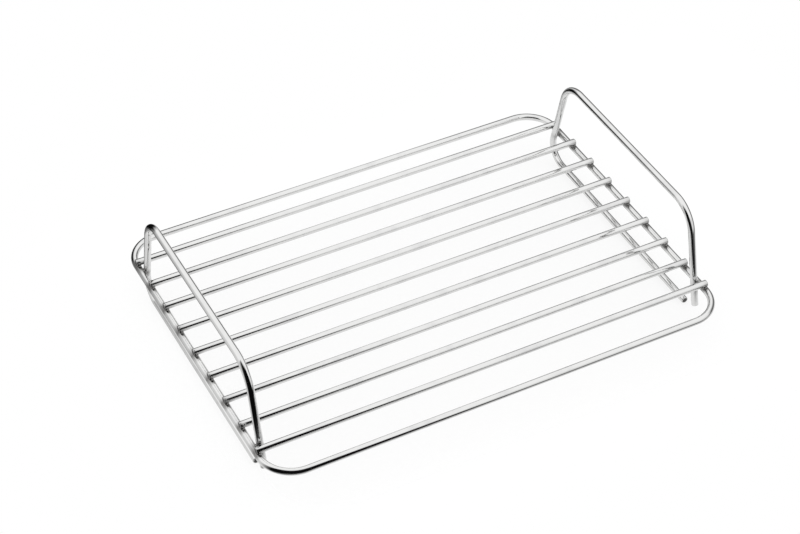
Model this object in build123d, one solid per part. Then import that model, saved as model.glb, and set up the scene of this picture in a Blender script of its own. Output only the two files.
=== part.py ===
"""Wire roasting rack.

Straight rods lie across the short sides of a closed frame loop. A wire handle loop stands
upright inside each short side: its top bar is the grip and its bottom run is a foot.
The origin is on the floor under the middle of the rack, X runs along the rods and Y to the back.
"""
import os
from math import cos, radians, tan

from build123d import *

# Wire gauges, in millimetres
frame_wire = 5.0
rod_wire = 5.0
handle_wire = 5.0

# Frame loop
rack_length = 342.5  # outside length, along the rods
corner_bend = 23.0  # corner radius on the wire's axis

# Rods
rod_count = 9
rod_pitch = 25.0  # also the step from the outer rods to the frame's long sides
rod_overhang = 1.25  # how far a rod runs past the axis of the frame's short side

# Handle loops
frame_rise = 20.5  # axis of the foot run to axis of the frame loop
grip_rise = 78.0  # axis of the foot run to axis of the grip bar
leg_splay = 13.5  # lean of the legs from upright, in degrees
leg_clearance = 1.6  # between a leg and the outer rod that it passes
grip_bend = 22.0  # radius of the two top bends on the wire's axis
foot_bend = 14.0  # radius of the bottom bend at the back
leg_stop = 5.5  # height of the front leg's cut end over the axis of the foot run
run_stop = 13.0  # distance of the foot run's cut end from the line of the front leg

# Welds
weld_sink = 0.5  # how far two crossing wires sink into each other

# Places that follow from the sizes above
side_x = (rack_length - frame_wire) / 2
long_side_y = rod_pitch * (rod_count + 1) / 2
outer_rod_y = rod_pitch * (rod_count - 1) / 2
rod_length = 2 * (side_x + rod_overhang)

run_z = handle_wire / 2
frame_z = run_z + frame_rise
rod_z = frame_z + (frame_wire + rod_wire) / 2 - weld_sink
grip_z = run_z + grip_rise
handle_x = side_x - (frame_wire + handle_wire) / 2 + weld_sink

splay = tan(radians(leg_splay))
leg_to_rod = ((rod_wire + handle_wire) / 2 + leg_clearance) / cos(radians(leg_splay))


def leg_y(z):
    """Distance of a leg's axis from the middle of the rack, at height z."""
    return outer_rod_y - leg_to_rod + (rod_z - z) * splay


def bent_wire(path, diameter):
    """A round wire along a path."""
    section = Plane(origin=path @ 0, z_dir=path % 0) * Circle(diameter / 2)
    return sweep(section, path=path)


def make_frame_loop():
    """The closed rectangle with rounded corners that carries the rods."""
    outline = RectangleRounded(2 * side_x, 2 * long_side_y, corner_bend)
    return bent_wire(Pos(0, 0, frame_z) * outline.wire(), frame_wire)


def make_rod(y, frame_loop):
    """One straight rod at y, seated in a saddle on each short side of the frame."""
    rod = Pos(0, y, rod_z) * Cylinder(rod_wire / 2, rod_length, rotation=(0, 90, 0))
    return rod - frame_loop


def make_handle(frame_loop):
    """The right handle: foot run, back leg, grip bar and front leg, bent from one wire."""
    stop_z = run_z + leg_stop
    path = FilletPolyline(
        (handle_x, run_stop - leg_y(run_z), run_z),
        (handle_x, leg_y(run_z), run_z),
        (handle_x, leg_y(grip_z), grip_z),
        (handle_x, -leg_y(grip_z), grip_z),
        (handle_x, -leg_y(stop_z), stop_z),
        radius=[foot_bend, grip_bend, grip_bend],
    )
    return bent_wire(path, handle_wire) - frame_loop


frame_loop = make_frame_loop()
right_handle = make_handle(frame_loop)
pieces = {
    "frame_loop": frame_loop,
    "right_handle": right_handle,
    "left_handle": mirror(right_handle, about=Plane.YZ),
}
for index in range(rod_count):
    pieces[f"rod_{index + 1}"] = make_rod(outer_rod_y - index * rod_pitch, frame_loop)

os.makedirs("parts", exist_ok=True)
for name, piece in pieces.items():
    piece.label = name
    export_step(piece, f"parts/{name}.step")
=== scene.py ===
"""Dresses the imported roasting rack: bright plated wires, weld fillets and a plain white studio.

Every wire is a circle carried along a flat path of straight runs and bends. A weld is the surface
that a small ball leaves when it rolls round the groove between two crossing wires. The studio is
a white room with a floor sheet and an overhead light. Dark cloth hangs round the rack, out of the
camera's sight, and the plating mirrors it as dark lines.
"""
from math import atan2, cos, pi, radians, sin, tan

import bpy
import numpy as np
from bpy.props import FloatProperty, FloatVectorProperty, IntProperty, PointerProperty
from bpy.types import Operator, Panel, PropertyGroup
from mathutils import Matrix, Vector


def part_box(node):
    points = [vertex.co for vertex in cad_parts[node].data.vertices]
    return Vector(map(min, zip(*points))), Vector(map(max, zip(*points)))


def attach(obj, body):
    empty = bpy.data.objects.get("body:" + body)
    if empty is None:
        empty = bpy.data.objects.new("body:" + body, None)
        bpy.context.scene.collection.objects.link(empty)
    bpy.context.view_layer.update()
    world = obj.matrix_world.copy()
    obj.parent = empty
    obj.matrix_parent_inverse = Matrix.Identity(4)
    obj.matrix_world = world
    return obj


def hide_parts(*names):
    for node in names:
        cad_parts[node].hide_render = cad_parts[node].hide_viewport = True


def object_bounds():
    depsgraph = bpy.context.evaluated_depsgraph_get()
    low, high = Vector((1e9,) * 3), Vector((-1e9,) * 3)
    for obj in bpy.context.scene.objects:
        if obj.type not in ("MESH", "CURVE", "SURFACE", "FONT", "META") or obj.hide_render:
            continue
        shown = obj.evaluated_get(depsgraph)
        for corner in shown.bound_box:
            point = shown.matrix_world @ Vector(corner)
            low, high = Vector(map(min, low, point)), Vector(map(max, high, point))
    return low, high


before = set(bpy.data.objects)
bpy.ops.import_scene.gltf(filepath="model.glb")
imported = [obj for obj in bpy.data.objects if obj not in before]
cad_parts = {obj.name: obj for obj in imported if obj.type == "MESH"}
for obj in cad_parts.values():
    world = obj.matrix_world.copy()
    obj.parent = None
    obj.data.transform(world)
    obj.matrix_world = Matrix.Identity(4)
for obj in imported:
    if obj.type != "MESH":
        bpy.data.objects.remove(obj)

CAD_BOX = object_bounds()

bl_info = {
    "name": "Roasting Rack",
    "version": (1, 0, 0),
    "blender": (4, 5, 0),
    "location": "View3D > Sidebar > Rack",
    "description": "Plated wires, weld fillets and studio of a roasting rack",
    "category": "Object",
}

BODY = "root"
SIDES = {"left": -1.0, "right": 1.0}

# The Mix node's sockets for colours, which share their names with its other sockets
MIX_COLOURS = (6, 7)
MIXED_COLOUR = 2


def length_property(label, text, default):
    """A length in metres, shown in the scene's units."""
    return FloatProperty(
        name=label, description=text, default=default, min=0.0, precision=5, unit="LENGTH"
    )


def angle_property(label, text, default):
    """An angle, given here in degrees."""
    return FloatProperty(name=label, description=text, default=radians(default), subtype="ANGLE")


def share_property(label, text, default):
    """A share from 0 to 1."""
    return FloatProperty(
        name=label, description=text, default=default, min=0.0, max=1.0, subtype="FACTOR"
    )


def colour_property(label, text, default):
    """A linear colour."""
    return FloatVectorProperty(
        name=label, description=text, default=default, size=3, min=0.0, max=1.0, subtype="COLOR"
    )


def number_property(label, text, default):
    """A number with no unit."""
    return FloatProperty(name=label, description=text, default=default, min=0.0)


def count_property(label, text, default):
    """A whole number of points, rings or sections."""
    return IntProperty(name=label, description=text, default=default, min=3)


class RackShape(PropertyGroup):
    """Bends, stops and welds that the node boxes don't give, and how finely they are drawn."""

    corner_bend: length_property("Corner bend", "Radius of the frame's corners on the axis", 0.023)
    grip_bend: length_property("Grip bend", "Radius of a handle's two top bends", 0.022)
    foot_bend: length_property("Foot bend", "Radius of a handle's bottom bend at the back", 0.014)
    leg_splay: angle_property("Leg splay", "Lean of a handle's legs from upright", 13.5)
    leg_clearance: length_property("Leg clearance", "From a leg to the rod it passes", 0.0016)
    leg_stop: length_property("Leg stop", "Front leg's cut end over the foot run's axis", 0.0055)
    run_stop: length_property("Run stop", "Foot run's cut end from the front leg's line", 0.013)
    weld_fillet: length_property("Weld fillet", "Radius of the fillet round a weld", 0.0006)
    # Weld zone, in wire radii: plating dulled and darkened with painted shade
    weld_shade_core: number_property("Burn core", "Fully burnt zone of a weld, in wire radii", 1.0)
    weld_shade_reach: number_property("Burn reach", "Outer end of that zone, in wire radii", 2.4)
    end_round: length_property("End round", "Rounding of a cut end's rim", 0.0004)
    end_dish: length_property("End dish", "Depth of the dish that the cutter leaves", 0.00012)
    end_core: share_property("End core", "Innermost ring's share of a cut face", 0.08)
    end_rings: count_property("End rings", "Rings over a cut end's rim, and over its face", 6)
    around: count_property("Around", "Points round a wire", 48)
    run_step: length_property("Run step", "Distance of the rings on a straight run", 0.004)
    bend_step: angle_property("Bend step", "Angle between the rings on a bend", 3.0)
    weld_steps: count_property("Weld steps", "Sections round a weld", 72)
    weld_arc: count_property("Weld arc", "Points on the fillet in a section", 9)


class RackFinish(PropertyGroup):
    """Colours, roughness and grain of the plating."""

    plate: colour_property("Plate", "Colour of the bright plating", (0.70, 0.70, 0.695))
    plate_dull: colour_property("Dull plate", "Plating where it is handled", (0.62, 0.62, 0.62))
    # Near welds: dull plating darkened with painted shade where the wires meet
    weld: colour_property("Weld", "Plating in the burnt zone of a weld", (0.17, 0.165, 0.16))
    # Cut faces: bare steel darkened with painted shade
    cut: colour_property("Cut", "Face of a cut end", (0.085, 0.085, 0.083))
    gloss: share_property("Gloss", "Roughness of the bright plating", 0.06)
    smudge: share_property("Smudge", "Roughness added in the dullest places", 0.08)
    weld_rough: share_property("Weld roughness", "Roughness of a weld", 0.34)
    cut_rough: share_property("Cut roughness", "Roughness of a cut end", 0.45)
    lines_along: number_property("Lines along", "Draw lines in a metre of wire", 18.0)
    lines_round: number_property("Lines round", "Draw lines round a wire", 26.0)
    line_relief: share_property("Line relief", "Height of the lines beside a weld's grain", 0.5)
    patches: number_property("Patches", "Dull patches in a metre", 55.0)
    dull_from: share_property("Dull from", "Patch noise where the plating starts to dull", 0.45)
    dull_full: share_property("Dull full", "Patch noise where it is dullest", 0.75)
    # Grain speckles the welds' dull plate, their painted shade and their relief
    grain: number_property("Grain", "Grains of a weld in a metre", 2600.0)
    grain_from: share_property("Grain from", "Grain noise where the burn is least", 0.2)
    grain_full: share_property("Grain full", "Grain noise where the burn is full", 0.75)
    least_weld_shade: share_property("Least burn", "Burn that the grain leaves everywhere", 0.65)
    relief: share_property("Relief", "Strength of lines and grain on the surface", 0.10)
    relief_depth: length_property("Relief depth", "Depth of lines and grain", 0.00012)


class RackStudio(PropertyGroup):
    """Camera, floor sheet, light and dark cloth.

    A turn round the rack starts at the front and is positive towards the right.
    """

    azimuth: angle_property("Azimuth", "Camera's turn round the rack", -27.48)
    elevation: angle_property("Elevation", "Camera's height as an angle", 42.08)
    distance: length_property("Distance", "From the camera to its target", 1.451)
    target: FloatVectorProperty(
        name="Target",
        description="Point that the camera looks at",
        default=(-0.00696, 0.01591, 0.02326),
        subtype="XYZ",
    )
    lens: FloatProperty(
        name="Lens", description="Focal length on a 36 mm sensor", default=93.78, unit="CAMERA"
    )
    floor_front: length_property("Floor front", "Floor sheet past the rack's front", 0.091)
    floor_back: length_property("Floor back", "Floor sheet past the rack's back", 0.1)
    floor_left: length_property("Floor left", "Floor sheet past the rack's left side", 0.064)
    floor_right: length_property("Floor right", "Floor sheet past the rack's right side", 0.219)
    floor_fade: length_property("Floor fade", "Width over which the sheet fades out", 0.12)
    floor_colour: colour_property("Floor", "Colour of the floor sheet", (0.95, 0.95, 0.95))
    floor_white: share_property("Floor white", "Plain white in the seen or mirrored floor", 0.8)
    room_light: number_property("Room light", "Brightness of the white room", 1.0)
    lamp_light: number_property("Lamp light", "Brightness of the overhead light's face", 0.2)
    lamp_size: length_property("Lamp size", "Side of the overhead light", 3.0)
    lamp_height: length_property("Lamp height", "Height of the overhead light", 1.0)
    dark_level: share_property("Cloth level", "Brightness of the dark cloth", 0.004)
    cloth_distance: length_property("Cloth distance", "From the rack's middle to the cloth", 0.60)
    cloth_soft: angle_property("Cloth softness", "Half the width of the cloth's edges", 13.0)
    cloth_bottom: angle_property("Cloth bottom", "Lower end of the cloth's sheet", -45.0)
    cloth_head: angle_property("Cloth head", "Upper end of the cloth's sheet", 80.0)
    cloth_turns: count_property("Cloth turns", "Points round the cloth's sheet", 96)
    cloth_rings: count_property("Cloth rings", "Rings from its lower to its upper end", 48)
    back_top: angle_property("Back top", "Upper edge of the cloth at the back", 27.5)
    left_start: angle_property("Left from", "Turn where the left cloth starts", -131.0)
    left_top: angle_property("Left top", "Upper edge of the left cloth", 16.4)
    left_thin: share_property("Left thinness", "Light that the left cloth lets through", 0.84)
    front_start: angle_property("Front from", "Turn where the front cloth starts", -85.0)
    front_top: angle_property("Front top", "Upper edge of the front cloth", 62.0)
    low_start: angle_property("Low from", "Turn where the low cloth at the front starts", 8.0)
    low_top: angle_property("Low top", "Upper edge of the low cloth", 0.0)
    right_start: angle_property("Right from", "Turn where the right cloth starts", 67.0)
    right_top: angle_property("Right top", "Upper edge of the right cloth", 29.3)
    right_thin: share_property("Right thinness", "Light that the right cloth lets through", 0.19)
    rear_start: angle_property("Rear from", "Turn where the cloth behind the right starts", 160.0)
    rear_top: angle_property("Rear top", "Upper edge of the cloth behind the right", -10.0)
    rear_thin: share_property("Rear thinness", "Light that this cloth lets through", 0.76)


def middle(node):
    """Centre of a node's box, as an array."""
    low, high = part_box(node)
    return np.array((low + high) / 2)


def half_size(node):
    """Half the sides of a node's box, as an array."""
    low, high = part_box(node)
    return np.array((high - low) / 2)


def rod_nodes():
    """The rods' node names, from the back to the front."""
    return sorted((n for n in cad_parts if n.startswith("rod_")), key=lambda n: -middle(n)[1])


def wire_radius(node):
    """Radius of a wire, from the shortest side of its node's box."""
    return float(half_size(node).min())


def frame_side():
    """Axis of the frame's right short side and back long side, and their height."""
    across = half_size("frame_loop")[:2] - wire_radius("frame_loop")
    return across[0], across[1], middle("frame_loop")[2]


def leg_line(shape):
    """Where a back leg's axis meets the floor, and how much it leans in for each unit of height.

    At the rods' height the axis stands off the outer rod's axis by both radii and the clearance,
    measured square to the leg.
    """
    outer = rod_nodes()[0]
    lean = tan(shape.leg_splay)
    gap = wire_radius(outer) + wire_radius("right_handle") + shape.leg_clearance
    at_rods = middle(outer)[1] - gap / cos(shape.leg_splay)
    return at_rods + middle(outer)[2] * lean, lean


def turned(vector, angles):
    """A flat vector turned by each angle of an array."""
    c, s = np.cos(angles), np.sin(angles)
    return np.stack([c * vector[0] - s * vector[1], s * vector[0] + c * vector[1]], axis=1)


def bent_path(corners, bends, shape, closed=False):
    """Points and tangents along straight runs joined by tangent arcs, in the path's own plane.

    An arc of radius R at a corner that turns by A starts R tan(A/2) before the corner. Its points
    are its centre plus the first radius turned evenly from 0 to A.
    """
    corners = np.asarray(corners, float)
    count = len(corners)
    bent = range(count) if closed else range(1, count - 1)
    stretches = [] if closed else [(corners[:1], None)]
    for index, bend in zip(bent, bends):
        before = corners[index] - corners[index - 1]
        after = corners[(index + 1) % count] - corners[index]
        before, after = before / np.linalg.norm(before), after / np.linalg.norm(after)
        turn = atan2(before[0] * after[1] - before[1] * after[0], before @ after)
        start = corners[index] - before * bend * tan(abs(turn) / 2)
        inward = np.array([-before[1], before[0]]) * np.sign(turn)
        angles = np.linspace(0.0, turn, int(abs(turn) / shape.bend_step) + 2)
        arc = start + inward * bend + turned(-inward * bend, angles)
        stretches.append((arc, turned(before, angles)))
    stretches.append((stretches[0][0][:1], None) if closed else (corners[-1:], None))
    # A straight run leads from the end of each stretch to the start of the next one
    points, tangents = [], []
    for (here, along), (there, _) in zip(stretches[:-1], stretches[1:]):
        run = there[0] - here[-1]
        steps = np.linspace(0.0, 1.0, max(int(np.linalg.norm(run) / shape.run_step), 2) + 1)
        first = 1 if along is not None else 0
        last = len(steps) - 1
        points.append(here if along is not None else here[:0])
        points.append(here[-1] + steps[first:last, None] * run)
        tangents.append(along if along is not None else here[:0])
        tangents.append(np.tile(run / np.linalg.norm(run), (last - first, 1)))
    if not closed:
        points.append(corners[-1:])
        tangents.append(tangents[-1][-1:])
    return np.vstack(points), np.vstack(tangents)


def in_plane(flat, origin, first, second):
    """Flat coordinates placed in space on two axes."""
    return origin + flat[:, :1] * first + flat[:, 1:] * second


def cut_end(radius, shape):
    """Rings from a wire's side, over the rim of its cut end, to the middle of the cut face.

    The rim is a quarter circle of the end round. The face is a shallow dish, deepest in the
    middle. Returns each ring's set-back from the end, its radius, and 1 on the face and 0 on
    the rim.
    """
    turn = np.linspace(0.0, pi / 2, shape.end_rings)
    rim_back = shape.end_round * (1 - np.sin(turn))
    rim_radius = radius - shape.end_round * (1 - np.cos(turn))
    face = np.linspace(1.0, shape.end_core, shape.end_rings)[1:]
    face_back = shape.end_dish * (1 - face**2)
    back = np.r_[rim_back, face_back]
    size = np.r_[rim_radius, rim_radius[-1] * face]
    return back, size, np.r_[np.zeros(len(turn)), np.ones(len(face))]


def wire_rings(points, tangents, side, radius, shape, closed):
    """Rings of a wire: centre + radius (cos a * normal + sin a * side).

    The side is square to the path's plane, and the normal to the side and the path. An open wire
    gets a rounded rim and a dished face at both ends. Returns the rings, the distance along the
    wire, and 1 on cut faces and 0 elsewhere.
    """
    along = np.r_[0.0, np.cumsum(np.linalg.norm(np.diff(points, axis=0), axis=1))]
    radii = np.full(len(points), radius)
    cut = np.zeros(len(points))
    if not closed:
        back, size, face = cut_end(radius, shape)
        first, last = points[0], points[-1]
        start, end = np.tile(tangents[0], (len(back), 1)), np.tile(tangents[-1], (len(back), 1))
        clear = 2 * shape.end_round
        inner = (along > clear) & (along < along[-1] - clear)
        head, tail = first + back[::-1, None] * start, last - back[:, None] * end
        points = np.vstack([head, points[inner], tail])
        tangents = np.vstack([start, tangents[inner], end])
        along = np.r_[back[::-1], along[inner], along[-1] - back]
        radii = np.r_[size[::-1], radii[inner], size]
        cut = np.r_[face[::-1], cut[inner], face]
    normal = np.cross(np.broadcast_to(side, tangents.shape), tangents)
    angle = np.linspace(0.0, 2 * pi, shape.around, endpoint=False)[None, :, None]
    section = np.cos(angle) * normal[:, None, :] + np.sin(angle) * side
    return points[:, None, :] + radii[:, None, None] * section, along, cut


def surface_piece(name, rings, along, marks, ends):
    """A smooth mesh from rings of points, each closed on itself.

    A face joins two neighbours on a ring to the same two on the next ring. At its ends the row of
    rings is joined, capped or left open. The map gives the distance along the rings and the share
    of the way round them, and each mark becomes an attribute of the points.
    """
    count, around = rings.shape[:2]
    rows = np.arange(count if ends == "joined" else count - 1)
    columns = np.arange(around)
    here, there = rows[:, None] * around, ((rows + 1) % count)[:, None] * around
    left, right = columns[None, :], ((columns + 1) % around)[None, :]
    quads = np.stack([here + left, here + right, there + right, there + left], axis=2)
    faces = quads.reshape(-1, 4).tolist()
    v_left, v_right = columns / around, (columns + 1) / around
    pitch = np.r_[along, along[-1] + np.linalg.norm(rings[0, 0] - rings[-1, 0])]
    u_here, u_there = pitch[rows], pitch[rows + 1]
    grid = (len(rows), around)
    corner_u = [np.broadcast_to(u[:, None], grid) for u in (u_here, u_here, u_there, u_there)]
    corner_v = [np.broadcast_to(v[None, :], grid) for v in (v_left, v_right, v_right, v_left)]
    uv = np.stack([np.stack(corner_u, 2), np.stack(corner_v, 2)], 3).reshape(-1, 2)
    if ends == "capped":
        faces += [columns[::-1].tolist(), (columns + (count - 1) * around).tolist()]
        flat = np.stack([np.zeros(around), columns / around], axis=1)
        uv = np.vstack([uv, flat, flat])
    mesh = bpy.data.meshes.new(name)
    mesh.from_pydata(rings.reshape(-1, 3), [], faces)
    mesh.polygons.foreach_set("use_smooth", np.ones(len(faces), bool))
    layer = mesh.uv_layers.new(name="wire")
    layer.data.foreach_set("uv", uv.astype(np.float32).ravel())
    for mark, values in marks.items():
        attribute = mesh.attributes.new(mark, "FLOAT", "POINT")
        attribute.data.foreach_set("value", np.ascontiguousarray(values, np.float32).ravel())
    mesh.validate()
    mesh.update()
    piece = bpy.data.objects.new(name, mesh)
    bpy.context.scene.collection.objects.link(piece)
    return piece


def crossings(shape):
    """Every weld: its centre, the direction of the wire laid on the frame, and the axes' gap.

    Rods lie on the frame's short sides, and each handle leg stands against their inner side. The
    gap runs from the frame's axis to the other wire's. End is how far a rod runs on past the
    centre, and a leg runs on freely.
    """
    side_x, _, frame_z = frame_side()
    foot_y, lean = leg_line(shape)
    leg_y = foot_y - frame_z * lean
    handle_x = abs(middle("right_handle")[0])
    welds = []
    for sign in SIDES.values():
        for rod in rod_nodes():
            _, y, z = middle(rod)
            welds.append({
                "centre": np.array([sign * side_x, y, (z + frame_z) / 2]),
                "along": np.array([sign, 0.0, 0.0]),
                "gap": np.array([0.0, 0.0, 1.0]),
                "spacing": z - frame_z,
                "end": half_size(rod)[0] - side_x,
            })
        for back in (1.0, -1.0):
            leg = np.array([0.0, -back * lean, 1.0])
            welds.append({
                "centre": np.array([sign * (side_x + handle_x) / 2, back * leg_y, frame_z]),
                "along": leg / np.linalg.norm(leg),
                "gap": np.array([-sign, 0.0, 0.0]),
                "spacing": side_x - handle_x,
                "end": None,
            })
    return welds


def weld_mark(points, shape):
    """Dullness and painted shade from the nearest weld: 1 in its core, falling smoothly to 0."""
    centres = np.array([weld["centre"] for weld in crossings(shape)])
    distance = np.linalg.norm(points[..., None, :] - centres, axis=-1).min(axis=-1)
    radii = distance / wire_radius("frame_loop")
    fade = (shape.weld_shade_reach - radii) / (shape.weld_shade_reach - shape.weld_shade_core)
    fade = np.clip(fade, 0.0, 1.0)
    return fade * fade * (3 - 2 * fade)


def weld_rings(weld, radius, shape):
    """The fillet of one weld, as rings round its section.

    A ball of radius f rolls in the groove between two wires of radius r whose axes are d apart, so
    its centre stays R = r + f from both axes. With h = R - d/2 and t running round the weld, the
    centre's height is -h cos 2t, and it lies 2 cos t sqrt(h (R - h cos^2 t)) and
    2 sin t sqrt(h (R - h sin^2 t)) off the lower and the upper axis. The fillet is the ball's arc
    between its two points of touch, and a root point inside the metal closes the section. Where
    the upper wire ends close by, distances x towards its end e become e tanh(x/e).
    """
    fillet = shape.weld_fillet
    reach = radius + fillet
    half_gap = weld["spacing"] / 2
    rise = reach - half_gap
    upper, lower, gap = weld["along"], np.array([0.0, 1.0, 0.0]), weld["gap"]
    across_upper, across_lower = np.cross(gap, upper), np.cross(gap, lower)
    t = np.linspace(0.0, 2 * pi, shape.weld_steps, endpoint=False)[:, None]
    height = -rise * np.cos(2 * t)
    off_lower = 2 * np.cos(t) * np.sqrt(rise * (reach - rise * np.cos(t) ** 2))
    off_upper = 2 * np.sin(t) * np.sqrt(rise * (reach - rise * np.sin(t) ** 2))
    along_upper = upper * off_lower / (upper @ across_lower)
    along_lower = lower * off_upper / (lower @ across_upper)
    ball = along_upper + along_lower + height * gap
    to_upper = -(off_upper * across_upper + (height - half_gap) * gap) / reach
    to_lower = -(off_lower * across_lower + (height + half_gap) * gap) / reach
    spread = np.arccos(np.clip((to_upper * to_lower).sum(1, keepdims=True), -1.0, 1.0))
    share = np.linspace(0.0, 1.0, shape.weld_arc)[None, :, None]
    whole = spread[:, :, None]
    from_upper = np.sin((1 - share) * whole) * to_upper[:, None]
    from_lower = np.sin(share * whole) * to_lower[:, None]
    arc = ball[:, None] + fillet * (from_upper + from_lower) / np.sin(whole)
    inward = to_upper + to_lower
    inward = inward / np.linalg.norm(inward, axis=1, keepdims=True)
    root = ball + inward * (fillet / np.cos(spread / 2) + fillet)
    rings = np.concatenate([arc, root[:, None]], axis=1)
    end = weld["end"]
    if end is not None:
        out = rings @ upper
        squeezed = np.where(out > 0, end * np.tanh(out / end), out)
        rings = rings + (squeezed - out)[..., None] * upper
    return rings + weld["centre"]


def finish_piece(piece, nodes):
    """Give a piece the plating, seat it on the rack's body and let it stand for its nodes."""
    piece.data.materials.append(plating(bpy.context.scene.rack_finish))
    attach(piece, BODY)
    if nodes:
        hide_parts(*nodes)


def wire_piece(node, corners, bends, axes, shape, closed=False):
    """One wire in place of a node: a bent path on two axes, swept with the node's own gauge."""
    origin, first, second = (np.array(axis, float) for axis in axes)
    flat, flat_tangents = bent_path(corners, bends, shape, closed)
    points = in_plane(flat, origin, first, second)
    tangents = in_plane(flat_tangents, np.zeros(3), first, second)
    side = np.cross(first, second)
    rings, along, cut = wire_rings(points, tangents, side, wire_radius(node), shape, closed)
    marks = {"weld": weld_mark(rings, shape), "cut": np.broadcast_to(cut[:, None], rings.shape[:2])}
    piece = surface_piece(node + "_wire", rings, along, marks, "joined" if closed else "capped")
    finish_piece(piece, [node])


class NodeTree:
    """Short calls for adding and joining shader nodes."""

    def __init__(self, tree):
        self.tree = tree
        tree.nodes.clear()

    def put(self, socket, value):
        """Set an input to a value, or join it to another node's output."""
        if isinstance(value, bpy.types.NodeSocket):
            self.tree.links.new(value, socket)
        else:
            socket.default_value = value

    def add(self, kind, values=None, **settings):
        """A node with its settings and inputs."""
        node = self.tree.nodes.new(kind)
        for key, value in settings.items():
            setattr(node, key, value)
        for key, value in (values or {}).items():
            self.put(node.inputs[key], value)
        return node

    def math(self, operation, first, second=0.0, third=0.0):
        """The output of a Math node."""
        inputs = {0: first, 1: second, 2: third}
        return self.add("ShaderNodeMath", inputs, operation=operation).outputs[0]

    def step(self, value, low, high):
        """0 below low, 1 above high and smooth between them."""
        ends = {"Value": value, "From Min": low, "From Max": high}
        node = self.add("ShaderNodeMapRange", ends, interpolation_type="SMOOTHSTEP")
        return node.outputs["Result"]

    def blend(self, factor, first, second):
        """A mix of two numbers."""
        return self.add("ShaderNodeMix", {"Factor": factor, "A": first, "B": second}).outputs[0]

    def mix(self, factor, first, second):
        """A mix of two colours."""
        node = self.add("ShaderNodeMix", {"Factor": factor}, data_type="RGBA")
        for socket, colour in zip(MIX_COLOURS, (first, second)):
            linked = isinstance(colour, bpy.types.NodeSocket)
            self.put(node.inputs[socket], colour if linked else (*colour, 1.0))
        return node.outputs[MIXED_COLOUR]

    def noise(self, place, scale, detail, rough=0.5):
        """Smooth noise of a number of cells in a unit of length."""
        inputs = {"Vector": place, "Scale": scale, "Detail": detail, "Roughness": rough}
        return self.add("ShaderNodeTexNoise", inputs).outputs["Fac"]

    def mark(self, name):
        """A mark that was given to the points of a piece."""
        return self.add("ShaderNodeAttribute", attribute_name=name).outputs["Fac"]

    def shaders(self, factor, first, second):
        """A mix of two shaders."""
        inputs = {0: factor, 1: first.outputs[0], 2: second.outputs[0]}
        return self.add("ShaderNodeMixShader", inputs)


def plating(finish):
    """Bright plate over drawn wire: faint draw lines, dull patches, welds and raw cut ends darkened
    with painted shade.
    """
    name = "bright_plate"
    if name in bpy.data.materials:
        return bpy.data.materials[name]
    material = bpy.data.materials.new(name)
    material.use_nodes = True
    nodes = NodeTree(material.node_tree)
    place = nodes.add("ShaderNodeTexCoord").outputs
    stretch = (finish.lines_along, finish.lines_round, 1.0)
    drawn = nodes.add("ShaderNodeMapping", {"Vector": place["UV"], "Scale": stretch})
    lines = nodes.noise(drawn.outputs["Vector"], scale=1.0, detail=3.0)
    patches = nodes.noise(place["Object"], finish.patches, detail=4.0, rough=0.6)
    grain = nodes.noise(place["Object"], finish.grain, detail=2.0)
    cut = nodes.mark("cut")
    dull = nodes.step(patches, finish.dull_from, finish.dull_full)
    speckle = nodes.step(grain, finish.grain_from, finish.grain_full)
    speckle = nodes.math("MULTIPLY_ADD", speckle, 1 - finish.least_weld_shade, finish.least_weld_shade)
    weld_dull_shade = nodes.math("MULTIPLY", nodes.mark("weld"), speckle)
    colour = nodes.mix(dull, finish.plate, finish.plate_dull)
    # Near a weld: dull plating darkened with painted shade where the wires meet
    colour = nodes.mix(weld_dull_shade, colour, finish.weld)
    # Cut faces: bare steel darkened with painted shade
    colour = nodes.mix(cut, colour, finish.cut)
    rough = nodes.math("MULTIPLY_ADD", dull, finish.smudge, finish.gloss)
    rough = nodes.math("MAXIMUM", rough, nodes.math("MULTIPLY", weld_dull_shade, finish.weld_rough))
    rough = nodes.math("MAXIMUM", rough, nodes.math("MULTIPLY", cut, finish.cut_rough))
    relief = nodes.math("MULTIPLY", weld_dull_shade, grain)
    relief = nodes.math("ADD", nodes.math("MULTIPLY", lines, finish.line_relief), relief)
    depth = {"Height": relief, "Strength": finish.relief, "Distance": finish.relief_depth}
    normal = nodes.add("ShaderNodeBump", depth).outputs["Normal"]
    shader = nodes.add(
        "ShaderNodeBsdfPrincipled",
        {"Base Color": colour, "Roughness": rough, "Metallic": 1.0, "Normal": normal},
    )
    nodes.add("ShaderNodeOutputMaterial", {"Surface": shader.outputs["BSDF"]})
    return material


def floor_paper(studio, corners):
    """Matt white paper that fades out along its edges.

    The camera and mirrored rays see a share of plain white in it, so that its shadow is faint.
    """
    material = bpy.data.materials.new("floor_paper")
    material.use_nodes = True
    nodes = NodeTree(material.node_tree)
    place = nodes.add("ShaderNodeTexCoord")
    axes = nodes.add("ShaderNodeSeparateXYZ", {"Vector": place.outputs["Object"]})
    inside = 1.0
    for axis, low, high in zip("XY", *corners):
        for edge, inner in ((low, low + studio.floor_fade), (high, high - studio.floor_fade)):
            inside = nodes.math("MULTIPLY", inside, nodes.step(axes.outputs[axis], edge, inner))
    clear = nodes.add("ShaderNodeBsdfTransparent")
    paper = nodes.add("ShaderNodeBsdfDiffuse", {"Color": (*studio.floor_colour, 1.0)})
    white = nodes.add("ShaderNodeEmission", {"Strength": studio.room_light})
    ray = nodes.add("ShaderNodeLightPath").outputs
    seen = nodes.math("MAXIMUM", ray["Is Camera Ray"], ray["Is Glossy Ray"])
    seen = nodes.math("MAXIMUM", seen, ray["Is Transmission Ray"])
    paper = nodes.shaders(nodes.math("MULTIPLY", seen, studio.floor_white), paper, white)
    sheet = nodes.shaders(inside, clear, paper)
    nodes.add("ShaderNodeOutputMaterial", {"Surface": sheet.outputs[0]})
    return material


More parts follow.
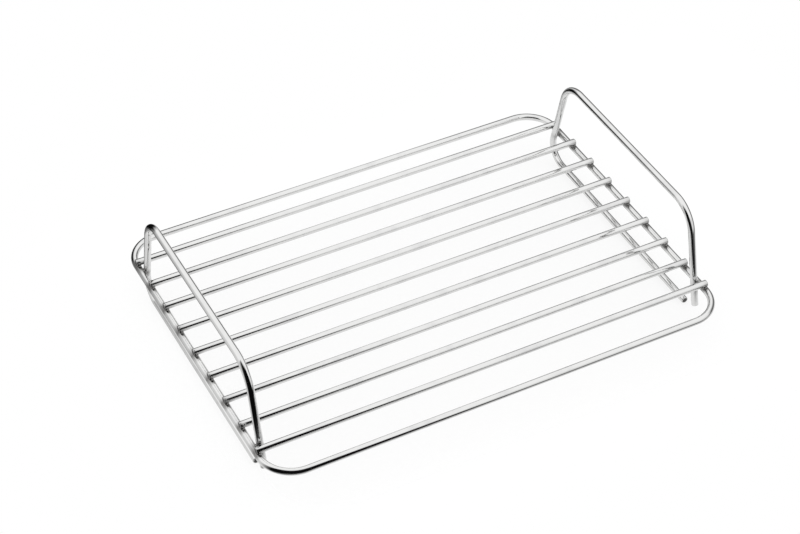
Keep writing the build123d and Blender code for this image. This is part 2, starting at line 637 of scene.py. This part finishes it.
def floor_sheet(studio):
    """A flat sheet on the floor that reaches past the rack by another length on each side."""
    low, high = CAD_BOX
    left, right = low[0] - studio.floor_left, high[0] + studio.floor_right
    front, back = low[1] - studio.floor_front, high[1] + studio.floor_back
    mesh = bpy.data.meshes.new("floor")
    outline = [(left, front, 0), (right, front, 0), (right, back, 0), (left, back, 0)]
    mesh.from_pydata(outline, [], [(0, 1, 2, 3)])
    mesh.materials.append(floor_paper(studio, ((left, front), (right, back))))
    floor = bpy.data.objects.new("floor", mesh)
    bpy.context.scene.collection.objects.link(floor)


def dark_cloth(studio):
    """Dark cloth of another height and thickness to each side, with soft edges.

    Going round the rack from the back, the upper edge, an angle over the floor, and the thickness
    change smoothly where the next side starts. Below its edge the cloth hides the room.
    """
    material = bpy.data.materials.new("dark_cloth")
    material.use_nodes = True
    nodes = NodeTree(material.node_tree)
    place = nodes.add("ShaderNodeTexCoord")
    away = nodes.add("ShaderNodeVectorMath", {0: place.outputs["Object"]}, operation="NORMALIZE")
    axes = nodes.add("ShaderNodeSeparateXYZ", {"Vector": away.outputs[0]}).outputs
    turn = nodes.math("ARCTAN2", axes["X"], nodes.math("MULTIPLY", axes["Y"], -1.0))
    height = nodes.math("ARCSINE", axes["Z"])
    soft = studio.cloth_soft
    sides = (
        (studio.left_start, studio.left_top, studio.left_thin),
        (studio.front_start, studio.front_top, 0.0),
        (studio.low_start, studio.low_top, 0.0),
        (studio.right_start, studio.right_top, studio.right_thin),
        (studio.rear_start, studio.rear_top, studio.rear_thin),
        (pi - soft, studio.back_top, 0.0),
    )
    edge, thin = studio.back_top, 0.0
    for start, side_top, side_thin in sides:
        past = nodes.step(turn, start - soft, start + soft)
        edge = nodes.blend(past, edge, side_top)
        thin = nodes.blend(past, thin, side_thin)
    cover = nodes.step(nodes.math("SUBTRACT", height, edge), soft, -soft)
    cover = nodes.math("MULTIPLY", cover, nodes.math("SUBTRACT", 1.0, thin))
    clear = nodes.add("ShaderNodeBsdfTransparent")
    cloth = nodes.add("ShaderNodeEmission", {"Color": (studio.dark_level,) * 3 + (1.0,)})
    sheet = nodes.shaders(cover, clear, cloth)
    nodes.add("ShaderNodeOutputMaterial", {"Surface": sheet.outputs[0]})
    return material


def cloth_dome(studio):
    """The cloth's sheet: a band of a sphere, its radius times the direction of turn and height."""
    turn = np.linspace(0.0, 2 * pi, studio.cloth_turns, endpoint=False)[None, :]
    height = np.linspace(studio.cloth_bottom, studio.cloth_head, studio.cloth_rings)[:, None]
    level = np.cos(height)
    direction = np.broadcast_arrays(np.sin(turn) * level, -np.cos(turn) * level, np.sin(height))
    rings = studio.cloth_distance * np.stack(direction, axis=2)
    dome = surface_piece("dark_cloth", rings, height[:, 0], {}, "open")
    dome.data.materials.append(dark_cloth(studio))
    dome.visible_camera = False
    dome.visible_diffuse = False
    dome.visible_shadow = False


def overhead_light(studio):
    """A wide soft light over the rack. Its power is brightness times pi times its face's area."""
    data = bpy.data.lights.new("overhead", "AREA")
    data.size = studio.lamp_size
    data.energy = studio.lamp_light * pi * studio.lamp_size**2
    lamp = bpy.data.objects.new("overhead", data)
    lamp.location = (0.0, 0.0, studio.lamp_height)
    lamp.visible_camera = False
    bpy.context.scene.collection.objects.link(lamp)


def white_room(studio):
    """An even white room."""
    world = bpy.data.worlds.new("white_room")
    world.use_nodes = True
    nodes = NodeTree(world.node_tree)
    white = {"Color": (1.0, 1.0, 1.0, 1.0), "Strength": studio.room_light}
    light = nodes.add("ShaderNodeBackground", white)
    nodes.add("ShaderNodeOutputWorld", {"Surface": light.outputs["Background"]})
    world.cycles.sampling_method = "NONE"
    bpy.context.scene.world = world


def studio_camera(studio):
    """A camera on the direction of its azimuth and elevation from the target, kept upright."""
    level = cos(studio.elevation)
    x, y = sin(studio.azimuth) * level, -cos(studio.azimuth) * level
    back = Vector((x, y, sin(studio.elevation)))
    right = Vector((0, 0, 1)).cross(back).normalized()
    turn = Matrix((right, back.cross(right), back)).transposed().to_4x4()
    data = bpy.data.cameras.new("camera")
    data.lens = studio.lens
    camera = bpy.data.objects.new("camera", data)
    camera.matrix_world = Matrix.Translation(Vector(studio.target) + back * studio.distance) @ turn
    bpy.context.scene.collection.objects.link(camera)
    bpy.context.scene.camera = camera


class RACK_OT_frame_loop(Operator):
    """Make the closed frame loop that carries the rods"""

    bl_idname = "rack.frame_loop"
    bl_label = "Frame loop"

    def execute(self, context):
        shape = context.scene.rack_shape
        x, y, z = frame_side()
        corners = [(-x, -y), (x, -y), (x, y), (-x, y)]
        bends = [shape.corner_bend] * len(corners)
        axes = [(0, 0, z), (1, 0, 0), (0, 1, 0)]
        wire_piece("frame_loop", corners, bends, axes, shape, closed=True)
        return {"FINISHED"}


class RACK_OT_rods(Operator):
    """Make the straight rods"""

    bl_idname = "rack.rods"
    bl_label = "Rods"

    def execute(self, context):
        shape = context.scene.rack_shape
        for node in rod_nodes():
            end = half_size(node)[0]
            axes = [middle(node), (1, 0, 0), (0, 1, 0)]
            wire_piece(node, [(-end, 0), (end, 0)], [], axes, shape)
        return {"FINISHED"}


class RACK_OT_handles(Operator):
    """Make the two handle loops: foot run, back leg, grip bar and front leg"""

    bl_idname = "rack.handles"
    bl_label = "Handles"

    def execute(self, context):
        shape = context.scene.rack_shape
        floor_y, lean = leg_line(shape)
        bends = [shape.foot_bend, shape.grip_bend, shape.grip_bend]
        for side in SIDES:
            node = side + "_handle"
            radius = wire_radius(node)
            low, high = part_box(node)
            run_z, grip_z = low.z + radius, high.z - radius
            stop_z = run_z + shape.leg_stop
            run_y, grip_y, stop_y = (floor_y - z * lean for z in (run_z, grip_z, stop_z))
            corners = [
                (shape.run_stop - run_y, run_z),
                (run_y, run_z),
                (grip_y, grip_z),
                (-grip_y, grip_z),
                (-stop_y, stop_z),
            ]
            axes = [(middle(node)[0], 0, 0), (0, 1, 0), (0, 0, 1)]
            wire_piece(node, corners, bends, axes, shape)
        return {"FINISHED"}


class RACK_OT_welds(Operator):
    """Make the fillets round all the welds"""

    bl_idname = "rack.welds"
    bl_label = "Welds"

    def execute(self, context):
        shape = context.scene.rack_shape
        radius = wire_radius("frame_loop")
        for number, weld in enumerate(crossings(shape), 1):
            rings = weld_rings(weld, radius, shape)
            along = np.linspace(0.0, 2 * pi * radius, len(rings), endpoint=False)
            marks = {"weld": weld_mark(rings, shape), "cut": np.zeros(rings.shape[:2])}
            finish_piece(surface_piece(f"weld_{number:02d}", rings, along, marks, "joined"), [])
        return {"FINISHED"}


class RACK_OT_studio(Operator):
    """Make the floor sheet, the dark cloth, the light and the camera"""

    bl_idname = "rack.studio"
    bl_label = "Studio"

    def execute(self, context):
        studio = context.scene.rack_studio
        floor_sheet(studio)
        cloth_dome(studio)
        overhead_light(studio)
        white_room(studio)
        context.scene.view_settings.view_transform = "Standard"
        studio_camera(studio)
        return {"FINISHED"}


class RACK_PT_panel(Panel):
    """Sizes, finish and studio of the rack, with a button for each step"""

    bl_idname = "RACK_PT_panel"
    bl_label = "Roasting rack"
    bl_space_type = "VIEW_3D"
    bl_region_type = "UI"
    bl_category = "Rack"

    def draw(self, context):
        layout = self.layout
        for step in STEPS:
            layout.operator(step.bl_idname)
        for group in GROUPS:
            box = layout.box()
            settings = getattr(context.scene, group)
            for key in settings.__annotations__:
                box.prop(settings, key)


GROUPS = {"rack_shape": RackShape, "rack_finish": RackFinish, "rack_studio": RackStudio}
STEPS = (RACK_OT_frame_loop, RACK_OT_rods, RACK_OT_handles, RACK_OT_welds, RACK_OT_studio)


def register():
    """Register the classes and give the scene its settings."""
    for cls in (*GROUPS.values(), *STEPS, RACK_PT_panel):
        bpy.utils.register_class(cls)
    for name, group in GROUPS.items():
        setattr(bpy.types.Scene, name, PointerProperty(type=group))


def unregister():
    """Take the settings and the classes away again."""
    for name in GROUPS:
        delattr(bpy.types.Scene, name)
    for cls in (RACK_PT_panel, *reversed(STEPS), *reversed(GROUPS.values())):
        bpy.utils.unregister_class(cls)


def main():
    """Make the rack and its studio."""
    register()
    bpy.ops.rack.frame_loop()
    bpy.ops.rack.rods()
    bpy.ops.rack.handles()
    bpy.ops.rack.welds()
    bpy.ops.rack.studio()


if __name__ == "__main__":
    main()
